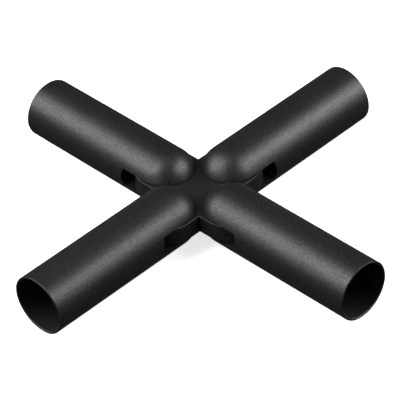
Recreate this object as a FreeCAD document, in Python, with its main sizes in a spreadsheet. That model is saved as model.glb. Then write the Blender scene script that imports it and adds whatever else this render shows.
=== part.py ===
import FreeCAD, Part
import math
import os

import Sketcher
from FreeCAD import Placement, Rotation, Vector

# Four-way swivel connector for round frame poles. A flat steel core shaped like a plus sign carries four
# sleeves. Each sleeve is a round tube pressed over a solid plug, whose domed nose closes the tube's inner
# end. A slot through tube and plug takes one round-ended arm of the core. A vertical shoulder screw, put in
# from below, is the pivot: dome, arm end and pivot share one centre. The screw turns in a bush pressed into
# the arm, and a shim washer above and one below keep the arm in the middle of the slot.
# Millimetres. The origin is the centre of the core, +Z is up, and the sleeves lie along X and Y.

SIZES = (
    ("tube_outside", 38.1, "outside diameter of a sleeve"),
    ("tube_wall", 2.0, "wall of the tube before the socket is bored"),
    ("socket_bore", 35.1, "bored inside diameter that takes the pole"),
    ("socket_depth", 77.0, "from the mouth to the shoulder that stops the pole"),
    ("reach", 132.5, "from the core's centre to a sleeve's mouth"),
    ("pivot_offset", 27.9, "from the core's centre to a pivot, which is the centre of a dome too"),
    ("plug_reach", 55.2, "from the core's centre to the plug's outer face"),
    ("plug_chamfer", 0.5, "chamfer of the plug's outer end"),
    ("mouth_round", 0.4, "rounding of the mouth's outer edge"),
    ("mouth_chamfer", 0.4, "lead-in on the mouth's inner edge"),
    ("slot_height", 13.2, "height of the slot through a sleeve"),
    ("slot_reach", 48.3, "from the core's centre to the middle of the slot's bowed outer end"),
    ("slot_bow", 1.5, "how much further the middle of that end reaches than its corners"),
    ("slot_corner", 0.6, "corner radius at the slot's outer end"),
    ("slot_overrun", 2.0, "how far the slot's cutter starts before the dome"),
    ("core_thickness", 12.0, "thickness of the core"),
    ("core_width", 38.4, "width of the core's arms, whose ends are half circles about the pivots"),
    ("core_edge_round", 0.35, "rounding of the core's top and bottom edges"),
    ("bush_outside", 14.0, "outside diameter of the pivot bush and of its hole in the core"),
    ("bush_hole", 10.1, "hole of the pivot bush"),
    ("shim_outside", 20.0, "outside diameter of a shim washer"),
    ("shim_hole", 10.4, "hole of a shim washer"),
    ("shim_thickness", 0.5, "thickness of a shim washer, a little less than the gap beside the arm"),
    ("pivot_hole", 10.2, "hole through the plug's lower half for the screw's shoulder"),
    ("thread_hole", 8.1, "blind hole in the plug's upper half for the screw's thread"),
    ("thread_hole_top", 15.4, "height of that hole's end above the mid-plane"),
    ("head_seat", 12.5, "depth of the screw head's seat below the mid-plane"),
    ("head_hole", 16.6, "counterbore that takes the screw's head"),
    ("shoulder_diameter", 10.0, "shoulder of the pivot screw"),
    ("thread_diameter", 8.0, "thread of the pivot screw"),
    ("thread_end", 14.6, "height of the screw's point above the mid-plane"),
    ("screw_point", 1.0, "chamfer at the screw's point"),
    ("head_diameter", 16.0, "head diameter of the pivot screw"),
    ("head_height", 4.5, "head height of the pivot screw"),
    ("head_chamfer", 0.5, "chamfer of the head's outer edge"),
    ("hex_flats", 5.0, "width across the flats of the hexagon socket"),
    ("hex_depth", 2.6, "depth of the hexagon socket"),
)

# name of each arm and the turn about +Z, in degrees, that takes +X to it
ARMS = (("right", 0), ("back", 90), ("left", 180), ("front", 270))


class Size:
    """A length that carries both its number and the spreadsheet expression behind it."""

    def __init__(self, number, text):
        self.number = number
        self.text = text

    def __add__(self, other):
        return Size(self.number + other.number, f"({self.text} + {other.text})")

    def __sub__(self, other):
        return Size(self.number - other.number, f"({self.text} - {other.text})")

    def __mul__(self, factor):
        return Size(self.number * factor, f"({self.text} * {factor})")

    def __neg__(self):
        return Size(-self.number, f"(-{self.text})") if self.number else self


ZERO = Size(0.0, "0 mm")


def make_sheet(doc):
    """The driving dimensions, one row each: alias, number, meaning. Returns every alias as a Size."""
    sheet = doc.addObject("Spreadsheet::Sheet", "Sizes")
    sizes = {}
    for row, (alias, number, meaning) in enumerate(SIZES, start=1):
        sheet.set(f"A{row}", alias)
        sheet.set(f"B{row}", str(number))
        sheet.set(f"C{row}", meaning)
        sheet.setAlias(f"B{row}", alias)
        sizes[alias] = Size(number, f"Sizes.{alias} * 1 mm")
    doc.recompute()
    return sizes


def origin_plane(body, role):
    """One of the body's own origin planes."""
    return next(plane for plane in body.Origin.OriginFeatures if plane.Role == role)


def add_sketch(body, name, role, height=ZERO):
    """An empty sketch on one of the body's origin planes, lifted along the plane's normal by height."""
    sketch = body.newObject("Sketcher::SketchObject", name)
    sketch.AttachmentSupport = [(origin_plane(body, role), "")]
    sketch.MapMode = "FlatFace"
    if height.number:
        sketch.AttachmentOffset = Placement(Vector(0, 0, height.number), Rotation())
        sketch.setExpression("AttachmentOffset.Base.z", height.text)
    return sketch


def pin_point(sketch, geometry, end, x, y):
    """Ties one point of a sketch to the origin, with both distances read from the sheet."""
    for kind, size, axis in (("DistanceX", x, -2), ("DistanceY", y, -1)):
        if size is ZERO:
            sketch.addConstraint(Sketcher.Constraint("PointOnObject", geometry, end, axis))
        else:
            number = sketch.addConstraint(Sketcher.Constraint(kind, -1, 1, geometry, end, size.number))
            sketch.setExpression(f"Constraints[{number}]", size.text)


def draw_outline(sketch, corners, arcs=None):
    """A closed outline through corners. arcs gives, for each edge that is an arc, the number of the corner
    where it starts, the axis that its centre lies on and whether it turns anticlockwise."""
    arcs = arcs or {}
    ends = []
    for index, (x, y) in enumerate(corners):
        next_x, next_y = corners[(index + 1) % len(corners)]
        here = Vector(x.number, y.number, 0)
        there = Vector(next_x.number, next_y.number, 0)
        if index in arcs:
            axis, anticlockwise = arcs[index]
            way = Vector(1, 0, 0) if axis == "X" else Vector(0, 1, 0)
            # the point of the axis that is as far from one end as from the other
            middle = (there.dot(there) - here.dot(here)) / (2 * (there - here).dot(way))
            centre = way * middle
            first, last = (here, there) if anticlockwise else (there, here)
            angles = [math.atan2(point.y - centre.y, point.x - centre.x) for point in (first, last)]
            circle = Part.Circle(centre, Vector(0, 0, 1), (here - centre).Length)
            edge = sketch.addGeometry(Part.ArcOfCircle(circle, *angles), False)
            line = -1 if axis == "X" else -2
            sketch.addConstraint(Sketcher.Constraint("PointOnObject", edge, 3, line))
            ends.append((edge, 1, 2) if anticlockwise else (edge, 2, 1))
        else:
            edge = sketch.addGeometry(Part.LineSegment(here, there), False)
            ends.append((edge, 1, 2))
    for index, (edge, start, _) in enumerate(ends):
        previous, _, previous_end = ends[index - 1]
        sketch.addConstraint(Sketcher.Constraint("Coincident", previous, previous_end, edge, start))
        pin_point(sketch, edge, start, *corners[index])


def draw_circle(sketch, radius, x, y=ZERO):
    """A circle about the point x, y of the sketch."""
    centre = Vector(x.number, y.number, 0)
    circle = sketch.addGeometry(Part.Circle(centre, Vector(0, 0, 1), radius.number), False)
    pin_point(sketch, circle, 3, x, y)
    number = sketch.addConstraint(Sketcher.Constraint("Radius", circle, radius.number))
    sketch.setExpression(f"Constraints[{number}]", radius.text)


def draw_hexagon(sketch, across_flats, offset):
    """A regular hexagon with two corners on the sketch's X axis, offset from its origin."""
    corner = across_flats * (1 / math.sqrt(3))
    flat = across_flats * 0.5
    half = corner * 0.5
    draw_outline(
        sketch,
        [
            (offset + corner, ZERO),
            (offset + half, flat),
            (offset - half, flat),
            (offset - corner, ZERO),
            (offset - half, -flat),
            (offset + half, -flat),
        ],
    )


def add_pad(body, name, sketch, length, midplane=False):
    pad = body.newObject("PartDesign::Pad", name)
    pad.Profile = sketch
    pad.Length = length.number
    pad.setExpression("Length", length.text)
    pad.Midplane = midplane
    return pad


def add_through_pocket(body, name, sketch):
    """A cut right through the body, both ways from the sketch's plane."""
    pocket = body.newObject("PartDesign::Pocket", name)
    pocket.Profile = sketch
    pocket.Type = "ThroughAll"
    pocket.Midplane = True
    return pocket


def add_turned(body, kind, name, sketch):
    """A Revolution or a Groove of a half profile about the body's X axis."""
    feature = body.newObject("PartDesign::" + kind, name)
    feature.Profile = sketch
    feature.ReferenceAxis = (sketch, ["H_Axis"])
    feature.Angle = 360
    return feature


def add_pivot_turned(body, kind, name, sketch, pivot):
    """A Revolution or a Groove of a half profile about the pivot's vertical axis."""
    axis = sketch.addGeometry(
        Part.LineSegment(Vector(pivot.number, 0, 0), Vector(pivot.number, 1, 0)), True
    )
    sketch.addConstraint(Sketcher.Constraint("Vertical", axis))
    sketch.addConstraint(Sketcher.Constraint("Distance", axis, 1.0))
    pin_point(sketch, axis, 1, pivot, ZERO)
    feature = body.newObject("PartDesign::" + kind, name)
    feature.Profile = sketch
    feature.ReferenceAxis = (sketch, ["Axis0"])
    feature.Angle = 360
    return feature


def add_edge_break(body, kind, name, base, size, wanted):
    """A Fillet or a Chamfer on every edge of base that passes the wanted test."""
    edges = [f"Edge{i}" for i, edge in enumerate(base.Shape.Edges, start=1) if wanted(edge)]
    if not edges:
        raise RuntimeError(f"{name}: no edge to break")
    feature = body.newObject("PartDesign::" + kind, name)
    feature.Base = (base, edges)
    prop = "Radius" if kind == "Fillet" else "Size"
    setattr(feature, prop, size.number)
    feature.setExpression(prop, size.text)
    return feature


def at_x(edge, x, top):
    """Does an edge lie in the plane across the X axis at x, and reach up to top?"""
    box = edge.BoundBox
    return near(box.XMin, x) and near(box.XMax, x) and near(box.ZMax, top)


def near(value, size):
    """Is a coordinate at the place a size gives?"""
    return abs(value - size.number) < 1e-3


def new_body(doc, name, turn=0):
    body = doc.addObject("PartDesign::Body", name)
    body.Label = name
    body.Placement = Placement(Vector(), Rotation(Vector(0, 0, 1), turn))
    return body


def finish_body(doc, body, tip):
    body.Tip = tip
    doc.recompute()
    return body


def must_shrink(feature, base):
    """A cut that misses the solid shows no error, so its volume is compared with its base's."""
    if feature.Shape.Volume > base.Shape.Volume - 1e-3:
        raise RuntimeError(f"{feature.Name} cut nothing")


def make_core(doc, size):
    """Plus-shaped plate. Each arm ends in a half circle about its pivot, with a hole there for a bush."""
    body = new_body(doc, "cross_core")
    half_width = size["core_width"] * 0.5
    pivot = size["pivot_offset"]
    quarter = [
        (pivot, -half_width),
        (pivot + half_width, ZERO),
        (pivot, half_width),
        (half_width, half_width),
    ]
    corners = []
    arcs = {}
    for axis in "XYXY":
        arcs[len(corners)] = (axis, True)
        arcs[len(corners) + 1] = (axis, True)
        corners.extend(quarter)
        quarter = [(-y, x) for x, y in quarter]
    outline = add_sketch(body, "CoreOutline", "XY_Plane")
    draw_outline(outline, corners, arcs)
    plate = add_pad(body, "CorePlate", outline, size["core_thickness"], midplane=True)
    doc.recompute()

    half_thickness = size["core_thickness"] * 0.5
    rounded = add_edge_break(
        body, "Fillet", "CoreEdges", plate, size["core_edge_round"],
        lambda edge: edge.BoundBox.ZLength < 1e-3 and near(abs(edge.BoundBox.ZMin), half_thickness),
    )
    doc.recompute()

    bush_circles = add_sketch(body, "BushCircles", "XY_Plane")
    for x, y in ((pivot, ZERO), (ZERO, pivot), (-pivot, ZERO), (ZERO, -pivot)):
        draw_circle(bush_circles, size["bush_outside"] * 0.5, x, y)
    bush_holes = add_through_pocket(body, "BushHoles", bush_circles)
    finish_body(doc, body, bush_holes)
    must_shrink(bush_holes, rounded)
    return body


def cut_slot(doc, size, body, base):
    """The slot for the core's arm, open towards the core's centre and bowed at its outer end."""
    start = size["pivot_offset"] - size["tube_outside"] * 0.5 - size["slot_overrun"]
    half_slot = size["slot_height"] * 0.5
    end = size["slot_reach"]
    shoulder = end - size["slot_bow"]
    outline = add_sketch(body, "SlotOutline", "XZ_Plane")
    draw_outline(
        outline,
        [
            (start, -half_slot),
            (shoulder, -half_slot),
            (end, ZERO),
            (shoulder, half_slot),
            (start, half_slot),
        ],
        arcs={1: ("X", True), 2: ("X", True)},
    )
    slot = add_through_pocket(body, "Slot", outline)
    doc.recompute()
    must_shrink(slot, base)

    corners = add_edge_break(
        body, "Fillet", "SlotCorners", slot, size["slot_corner"],
        lambda edge: edge.BoundBox.ZLength < 1e-3 and near(edge.BoundBox.XMin, shoulder),
    )
    doc.recompute()
    return corners


def cut_from_below(body, name, diameter, pivot, depth):
    """A round hole on the pivot's axis, from depth below the mid-plane down through the underside."""
    circle = add_sketch(body, name + "Circle", "XY_Plane", -depth)
    draw_circle(circle, diameter * 0.5, pivot)
    hole = body.newObject("PartDesign::Pocket", name)
    hole.Profile = circle
    hole.Type = "ThroughAll"
    return hole


def make_tube(doc, size, name, turn):
    """Tube along +X. Its inner end is slotted and fits over the plug, its outer end takes the pole."""
    body = new_body(doc, name, turn)
    outer = size["tube_outside"] * 0.5
    inner = outer - size["tube_wall"]
    socket = size["socket_bore"] * 0.5
    mouth, start = size["reach"], size["pivot_offset"]
    shoulder = mouth - size["socket_depth"]
    corners = [
        (start, inner),
        (start, outer),
        (mouth, outer),
        (mouth, socket),
        (shoulder, socket),
        (shoulder, inner),
    ]
    profile = add_sketch(body, "TubeProfile", "XZ_Plane")
    draw_outline(profile, corners)
    tube = add_turned(body, "Revolution", "BoredTube", profile)
    doc.recompute()
    slotted = cut_slot(doc, size, body, tube)
    rim = add_edge_break(
        body, "Fillet", "MouthRound", slotted, size["mouth_round"],
        lambda edge: at_x(edge, mouth, outer),
    )
    doc.recompute()
    lead_in = add_edge_break(
        body, "Chamfer", "MouthLeadIn", rim, size["mouth_chamfer"],
        lambda edge: at_x(edge, mouth, socket),
    )
    doc.recompute()
    head_notch = cut_from_below(body, "HeadNotch", size["head_hole"], start, size["head_seat"])
    finish_body(doc, body, head_notch)
    must_shrink(head_notch, lead_in)
    return body


def make_plug(doc, size, name, turn):
    """Solid plug with a domed nose as wide as the tube and a shank that fills the tube's inner end."""
    body = new_body(doc, name, turn)
    outer = size["tube_outside"] * 0.5
    shank = outer - size["tube_wall"]
    pivot, end = size["pivot_offset"], size["plug_reach"]
    chamfer = size["plug_chamfer"]
    corners = [
        (pivot - outer, ZERO),
        (pivot, outer),
        (pivot, shank),
        (end - chamfer, shank),
        (end, shank - chamfer),
        (end, ZERO),
    ]
    profile = add_sketch(body, "PlugProfile", "XZ_Plane")
    draw_outline(profile, corners, arcs={0: ("X", False)})
    plug = add_turned(body, "Revolution", "TurnedPlug", profile)
    doc.recompute()
    slotted = cut_slot(doc, size, body, plug)

    head_hole = cut_from_below(body, "HeadHole", size["head_hole"], pivot, size["head_seat"])
    doc.recompute()
    must_shrink(head_hole, slotted)
    pivot_hole = cut_from_below(body, "PivotHole", size["pivot_hole"], pivot, ZERO)
    doc.recompute()
    must_shrink(pivot_hole, head_hole)

    thread_circle = add_sketch(body, "ThreadCircle", "XY_Plane")
    draw_circle(thread_circle, size["thread_hole"] * 0.5, pivot)
    thread_hole = body.newObject("PartDesign::Pocket", "ThreadHole")
    thread_hole.Profile = thread_circle
    thread_hole.setExpression("Length", size["thread_hole_top"].text)
    thread_hole.Reversed = True
    finish_body(doc, body, thread_hole)
    must_shrink(thread_hole, pivot_hole)
    return body


def make_bush(doc, size, name, turn):
    """Plain bush, as tall as the core is thick, pressed into the core's arm."""
    body = new_body(doc, name, turn)
    rings = add_sketch(body, "BushRings", "XY_Plane")
    draw_circle(rings, size["bush_outside"] * 0.5, size["pivot_offset"])
    draw_circle(rings, size["bush_hole"] * 0.5, size["pivot_offset"])
    return finish_body(doc, body, add_pad(body, "Bush", rings, size["core_thickness"], midplane=True))


def make_shim(doc, size, name, turn, above):
    """Thin washer that lies against one face of the core's arm, round the pivot."""
    body = new_body(doc, name, turn)
    face = size["core_thickness"] * 0.5
    height = face if above else -face - size["shim_thickness"]
    rings = add_sketch(body, "ShimRings", "XY_Plane", height)
    draw_circle(rings, size["shim_outside"] * 0.5, size["pivot_offset"])
    draw_circle(rings, size["shim_hole"] * 0.5, size["pivot_offset"])
    return finish_body(doc, body, add_pad(body, "Shim", rings, size["shim_thickness"]))


def make_upper_shim(doc, size, name, turn):
    return make_shim(doc, size, name, turn, above=True)


def make_lower_shim(doc, size, name, turn):
    return make_shim(doc, size, name, turn, above=False)


def make_pivot_screw(doc, size, name, turn):
    """Shoulder screw from below. Its shoulder ends on the slot's upper face, which leaves the arm free."""
    body = new_body(doc, name, turn)
    pivot = size["pivot_offset"]
    slot_face = size["slot_height"] * 0.5
    point = size["thread_end"]
    under_head = -size["head_seat"]
    head_face = under_head - size["head_height"]
    head = pivot + size["head_diameter"] * 0.5
    shoulder = pivot + size["shoulder_diameter"] * 0.5
    thread = pivot + size["thread_diameter"] * 0.5
    corners = [
        (pivot, head_face),
        (head - size["head_chamfer"], head_face),
        (head, head_face + size["head_chamfer"]),
        (head, under_head),
        (shoulder, under_head),
        (shoulder, slot_face),
        (thread, slot_face),
        (thread, point - size["screw_point"]),
        (thread - size["screw_point"], point),
        (pivot, point),
    ]
    profile = add_sketch(body, "ScrewProfile", "XZ_Plane")
    draw_outline(profile, corners)
    turned = add_pivot_turned(body, "Revolution", "TurnedScrew", profile, pivot)
    doc.recompute()

    hexagon = add_sketch(body, "HexOutline", "XY_Plane", head_face)
    draw_hexagon(hexagon, size["hex_flats"], pivot)
    socket = body.newObject("PartDesign::Pocket", "HexSocket")
    socket.Profile = hexagon
    socket.setExpression("Length", size["hex_depth"].text)
    socket.Reversed = True
    finish_body(doc, body, socket)
    must_shrink(socket, turned)
    return body


def build(doc):
    size = make_sheet(doc)
    pieces = [make_core(doc, size)]
    makers = {
        "socket_tube": make_tube,
        "nose_plug": make_plug,
        "pivot_bush": make_bush,
        "upper_shim": make_upper_shim,
        "lower_shim": make_lower_shim,
        "pivot_screw": make_pivot_screw,
    }
    for kind, make in makers.items():
        for side, turn in ARMS:
            pieces.append(make(doc, size, f"{kind}_{side}", turn))
    return pieces


def check(doc, pieces):
    """Every object has recomputed cleanly, and every piece is one closed solid."""
    doc.recompute()
    for item in doc.Objects:
        if {"Invalid", "Error"} & set(item.State):
            raise RuntimeError(f"{item.Name} failed: {item.State}")
    for piece in pieces:
        shape = piece.Shape
        if shape.isNull() or not shape.isValid() or len(shape.Solids) != 1:
            raise RuntimeError(f"{piece.Label} is not one valid solid")


def write(pieces):
    os.makedirs("parts", exist_ok=True)
    for piece in pieces:
        piece.Shape.exportStep(f"parts/{piece.Label}.step")


def main():
    doc = FreeCAD.newDocument("CrossFitting")
    pieces = build(doc)
    check(doc, pieces)
    write(pieces)


main()
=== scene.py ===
import math

import bpy
from mathutils import Matrix, Vector


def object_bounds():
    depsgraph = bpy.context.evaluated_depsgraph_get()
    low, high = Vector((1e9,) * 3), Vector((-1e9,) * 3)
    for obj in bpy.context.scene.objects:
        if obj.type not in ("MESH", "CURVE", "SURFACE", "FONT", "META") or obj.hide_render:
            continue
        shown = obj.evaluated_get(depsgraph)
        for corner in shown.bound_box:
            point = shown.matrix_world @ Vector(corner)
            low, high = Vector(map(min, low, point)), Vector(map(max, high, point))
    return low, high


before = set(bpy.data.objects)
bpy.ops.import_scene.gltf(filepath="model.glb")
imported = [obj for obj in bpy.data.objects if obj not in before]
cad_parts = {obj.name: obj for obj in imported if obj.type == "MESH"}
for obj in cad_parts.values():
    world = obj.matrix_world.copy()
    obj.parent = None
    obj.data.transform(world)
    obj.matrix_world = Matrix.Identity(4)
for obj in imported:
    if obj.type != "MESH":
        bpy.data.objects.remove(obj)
cad_low, cad_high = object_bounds()

ARMS = ("right", "back", "left", "front")
MM = 0.001

COAT_IOR = 1.45
GRAIN = 0.6 * MM
PEBBLE = 0.9 * MM
RELIEF = 0.01 * MM

FLOOR_HALF_SIDE = 8.0
FLOOR_GLOW = 0.75
FLOOR_MOTTLE = 0.4
LAMP_DISTANCE = 1.2
LAMP_SIDE = 0.5
WORLD_LIGHTING = 0.055
WORLD_BACKDROP = 0.85


# Materials -----------------------------------------------------------------------------------------

class Shader:
    """Short way to build a node tree for one material."""

    def __init__(self, name):
        self.material = bpy.data.materials.new(name)
        self.material.use_nodes = True
        self.tree = self.material.node_tree
        self.surface = self.tree.nodes["Principled BSDF"]
        self.place = self.tree.nodes.new("ShaderNodeTexCoord").outputs["Object"]

    def node(self, kind, inputs=None, **settings):
        made = self.tree.nodes.new(kind)
        for key, value in settings.items():
            setattr(made, key, value)
        for key, value in (inputs or {}).items():
            if isinstance(value, bpy.types.NodeSocket):
                self.tree.links.new(value, made.inputs[key])
            else:
                made.inputs[key].default_value = value
        return made

    def noise(self, size, detail=2.0, roughness=0.5):
        """Noise whose features are about size metres across."""
        return self.node(
            "ShaderNodeTexNoise",
            {"Vector": self.place, "Scale": 1 / size, "Detail": detail, "Roughness": roughness},
        ).outputs["Fac"]

    def cells(self, size):
        """Distance to the nearest of points about size metres apart."""
        return self.node(
            "ShaderNodeTexVoronoi", {"Vector": self.place, "Scale": 1 / size}
        ).outputs["Distance"]

    def ramp(self, factor, low, high, first, last):
        """A value that goes from first to last as factor goes from low to high."""
        return self.node(
            "ShaderNodeMapRange",
            {"Value": factor, "From Min": low, "From Max": high, "To Min": first, "To Max": last},
        ).outputs["Result"]

    def mix(self, factor, first, second):
        """A colour that goes from first to second as factor goes from 0 to 1."""
        made = self.node("ShaderNodeMix", data_type="RGBA")
        self.tree.links.new(factor, made.inputs["Factor"])
        for key, colour in (("A", first), ("B", second)):
            socket = next(s for s in made.inputs if s.name == key and s.type == "RGBA")
            socket.default_value = (*colour, 1)
        return next(s for s in made.outputs if s.type == "RGBA")

    def add(self, first, second):
        return self.node("ShaderNodeMath", {0: first, 1: second}, operation="ADD").outputs["Value"]

    def bump(self, height, distance, under=None):
        inputs = {"Height": height, "Distance": distance, "Strength": 1.0}
        if under is not None:
            inputs["Normal"] = under
        return self.node("ShaderNodeBump", inputs).outputs["Normal"]

    def set(self, **inputs):
        for key, value in inputs.items():
            socket = self.surface.inputs[key.replace("_", " ")]
            if isinstance(value, bpy.types.NodeSocket):
                self.tree.links.new(value, socket)
            else:
                socket.default_value = value
        return self.material


def powder_coat(name, dark, light, rough):
    """Fine textured powder coat: melted grains that give a pebbled bump and a speckled gloss."""
    coat = Shader(name)
    grain = coat.noise(GRAIN, 1.0)
    pebbles = coat.cells(PEBBLE)
    ripple = coat.noise(3 * MM)
    patches = coat.noise(30 * MM)
    normal = coat.bump(ripple, RELIEF)
    normal = coat.bump(pebbles, RELIEF, under=normal)
    normal = coat.bump(grain, 1.5 * RELIEF, under=normal)
    shade = coat.mix(coat.ramp(grain, 0.35, 0.65, 0, 1), dark, light)
    sheen = coat.ramp(grain, 0.35, 0.65, 0.34, 0.76)
    gloss = coat.ramp(grain, 0.35, 0.65, rough + 0.02, rough - 0.02)
    drift = coat.ramp(patches, 0.3, 0.7, -0.02, 0.02)
    return coat.set(
        Base_Color=shade,
        Roughness=coat.add(gloss, drift),
        Specular_IOR_Level=sheen,
        Normal=normal,
        IOR=COAT_IOR,
    )


def black_steel(name):
    """Black oxide on steel: satin, faintly brown where it has worn."""
    steel = Shader(name)
    wear = steel.noise(3 * MM, 4.0, 0.6)
    grain = steel.noise(0.3 * MM)
    shade = steel.mix(steel.ramp(wear, 0.45, 0.7, 0, 1), (0.03, 0.03, 0.032), (0.09, 0.08, 0.07))
    return steel.set(
        Base_Color=shade,
        Metallic=0.8,
        Roughness=steel.ramp(wear, 0.3, 0.7, 0.35, 0.5),
        Normal=steel.bump(grain, RELIEF),
    )


def bright_steel(name, dark, light, patch):
    """Bright steel with a faintly clouded surface, whose patches are about patch metres across."""
    steel = Shader(name)
    cloud = steel.noise(patch, 3.0, 0.6)
    grain = steel.noise(0.25 * MM)
    shade = steel.mix(steel.ramp(cloud, 0.35, 0.65, 0, 1), dark, light)
    return steel.set(
        Base_Color=shade,
        Metallic=1.0,
        Roughness=steel.ramp(cloud, 0.3, 0.7, 0.25, 0.4),
        Normal=steel.bump(grain, 0.8 * RELIEF),
    )


def paint_node(node, material):
    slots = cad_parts[node].data.materials
    slots.clear()
    slots.append(material)


coat = powder_coat("black_powder_coat", (0.005, 0.005, 0.0053), (0.010, 0.010, 0.0105), 0.44)
oxide = black_steel("black_oxide_steel")
zinc = bright_steel("zinc_plated_steel", (0.42, 0.43, 0.44), (0.62, 0.62, 0.60), 1.5 * MM)
turned = bright_steel("turned_steel", (0.28, 0.27, 0.26), (0.40, 0.39, 0.38), 4 * MM)
paint_node("cross_core", coat)
for arm in ARMS:
    paint_node(f"socket_tube_{arm}", coat)
    paint_node(f"nose_plug_{arm}", coat)
    paint_node(f"pivot_bush_{arm}", turned)
    paint_node(f"upper_shim_{arm}", zinc)
    paint_node(f"lower_shim_{arm}", zinc)
    paint_node(f"pivot_screw_{arm}", oxide)


# Stage ---------------------------------------------------------------------------------------------

def make_floor(half_side):
    """Pale floor that glows a little, like a light table, so shadows on it are faint.

    It keeps its own light off the object, so the sides that face it stay dark.
    """
    mesh = bpy.data.meshes.new("floor")
    signs = ((-1, -1), (1, -1), (1, 1), (-1, 1))
    corners = [(x * half_side, y * half_side, cad_low.z) for x, y in signs]
    mesh.from_pydata(corners, [], [(0, 1, 2, 3)])
    floor = bpy.data.objects.new("floor", mesh)
    bpy.context.scene.collection.objects.link(floor)
    floor.visible_glossy = False
    floor.visible_diffuse = False
    pale = Shader("pale_floor")
    shade = pale.mix(pale.noise(FLOOR_MOTTLE), (0.90, 0.90, 0.90), (0.92, 0.92, 0.92))
    mesh.materials.append(
        pale.set(
            Base_Color=shade,
            Roughness=0.9,
            Specular_IOR_Level=0.1,
            Emission_Color=(1, 1, 1, 1),
            Emission_Strength=FLOOR_GLOW,
        )
    )


def from_angles(azimuth, elevation):
    """Unit vector towards a place seen at that azimuth, from -Y round to +X, and elevation, in degrees."""
    turn, lift = math.radians(azimuth), math.radians(elevation)
    return Vector((math.sin(turn) * math.cos(lift), -math.cos(turn) * math.cos(lift), math.sin(lift)))


def soft_box(name, azimuth, elevation, watts):
    """A square soft box that faces the object."""
    data = bpy.data.lights.new(name, "AREA")
    data.shape = "SQUARE"
    data.size = LAMP_SIDE
    data.energy = watts
    lamp = bpy.data.objects.new(name, data)
    towards = from_angles(azimuth, elevation)
    lamp.location = towards * LAMP_DISTANCE
    lamp.rotation_mode = "QUATERNION"
    lamp.rotation_quaternion = towards.to_track_quat("Z", "Y")
    lamp.visible_camera = False
    bpy.context.scene.collection.objects.link(lamp)


def make_world(lighting, backdrop):
    """Dim even light all round, and a pale backdrop behind the floor's edge in views from the side."""
    world = bpy.data.worlds.new("studio")
    bpy.context.scene.world = world
    world.use_nodes = True
    nodes, links = world.node_tree.nodes, world.node_tree.links
    ray = nodes.new("ShaderNodeLightPath")
    level = nodes.new("ShaderNodeMapRange")
    level.inputs["To Min"].default_value = lighting
    level.inputs["To Max"].default_value = backdrop
    links.new(ray.outputs["Is Camera Ray"], level.inputs["Value"])
    nodes["Background"].inputs["Color"].default_value = (1, 1, 1, 1)
    links.new(level.outputs["Result"], nodes["Background"].inputs["Strength"])


# azimuth, elevation and power: a wide bank of soft boxes on the left, another at the back right,
# a low fill at the front and one overhead
SOFT_BOXES = (
    (-65, 20, 1.0),
    (-65, 40, 4.0),
    (-45, 28, 5.3),
    (-45, 45, 0.3),
    (-45, 65, 1.9),
    (-25, 15, 0.4),
    (-20, 30, 1.5),
    (-20, 50, 7.9),
    (10, 12, 1.2),
    (100, 30, 0.7),
    (122, 20, 1.3),
    (122, 40, 6.4),
    (145, 15, 2.6),
    (145, 32, 5.0),
    (145, 50, 0.7),
    (165, 30, 0.7),
    (0, 88, 0.8),
)

make_floor(FLOOR_HALF_SIDE)
for azimuth, elevation, watts in SOFT_BOXES:
    soft_box(f"soft_box_{azimuth}_{elevation}", azimuth, elevation, watts)
make_world(WORLD_LIGHTING, WORLD_BACKDROP)


# Camera --------------------------------------------------------------------------------------------

AZIMUTH = 46.99
ELEVATION = 39.58
ROLL = math.radians(-3.88)
DISTANCE = 1.5727
SIDE_STEP = 0.0005
UP_STEP = -0.0031
FOCAL_MM = 234.96
SENSOR_MM = 36.0
NEAREST, FARTHEST = 0.01, 100.0


def make_camera():
    back = from_angles(AZIMUTH, ELEVATION)
    level = Vector((0, 0, 1)).cross(back).normalized()
    rise = back.cross(level)
    right = level * math.cos(ROLL) + rise * math.sin(ROLL)
    up = back.cross(right)
    place = back * DISTANCE + right * SIDE_STEP + up * UP_STEP
    data = bpy.data.cameras.new("camera")
    data.lens = FOCAL_MM
    data.sensor_width = SENSOR_MM
    data.clip_start, data.clip_end = NEAREST, FARTHEST
    camera = bpy.data.objects.new("camera", data)
    columns = Matrix((right, up, back)).transposed().to_4x4()
    camera.matrix_world = Matrix.Translation(place) @ columns
    bpy.context.scene.collection.objects.link(camera)
    bpy.context.scene.camera = camera


make_camera()
bpy.context.scene.view_settings.view_transform = "Standard"
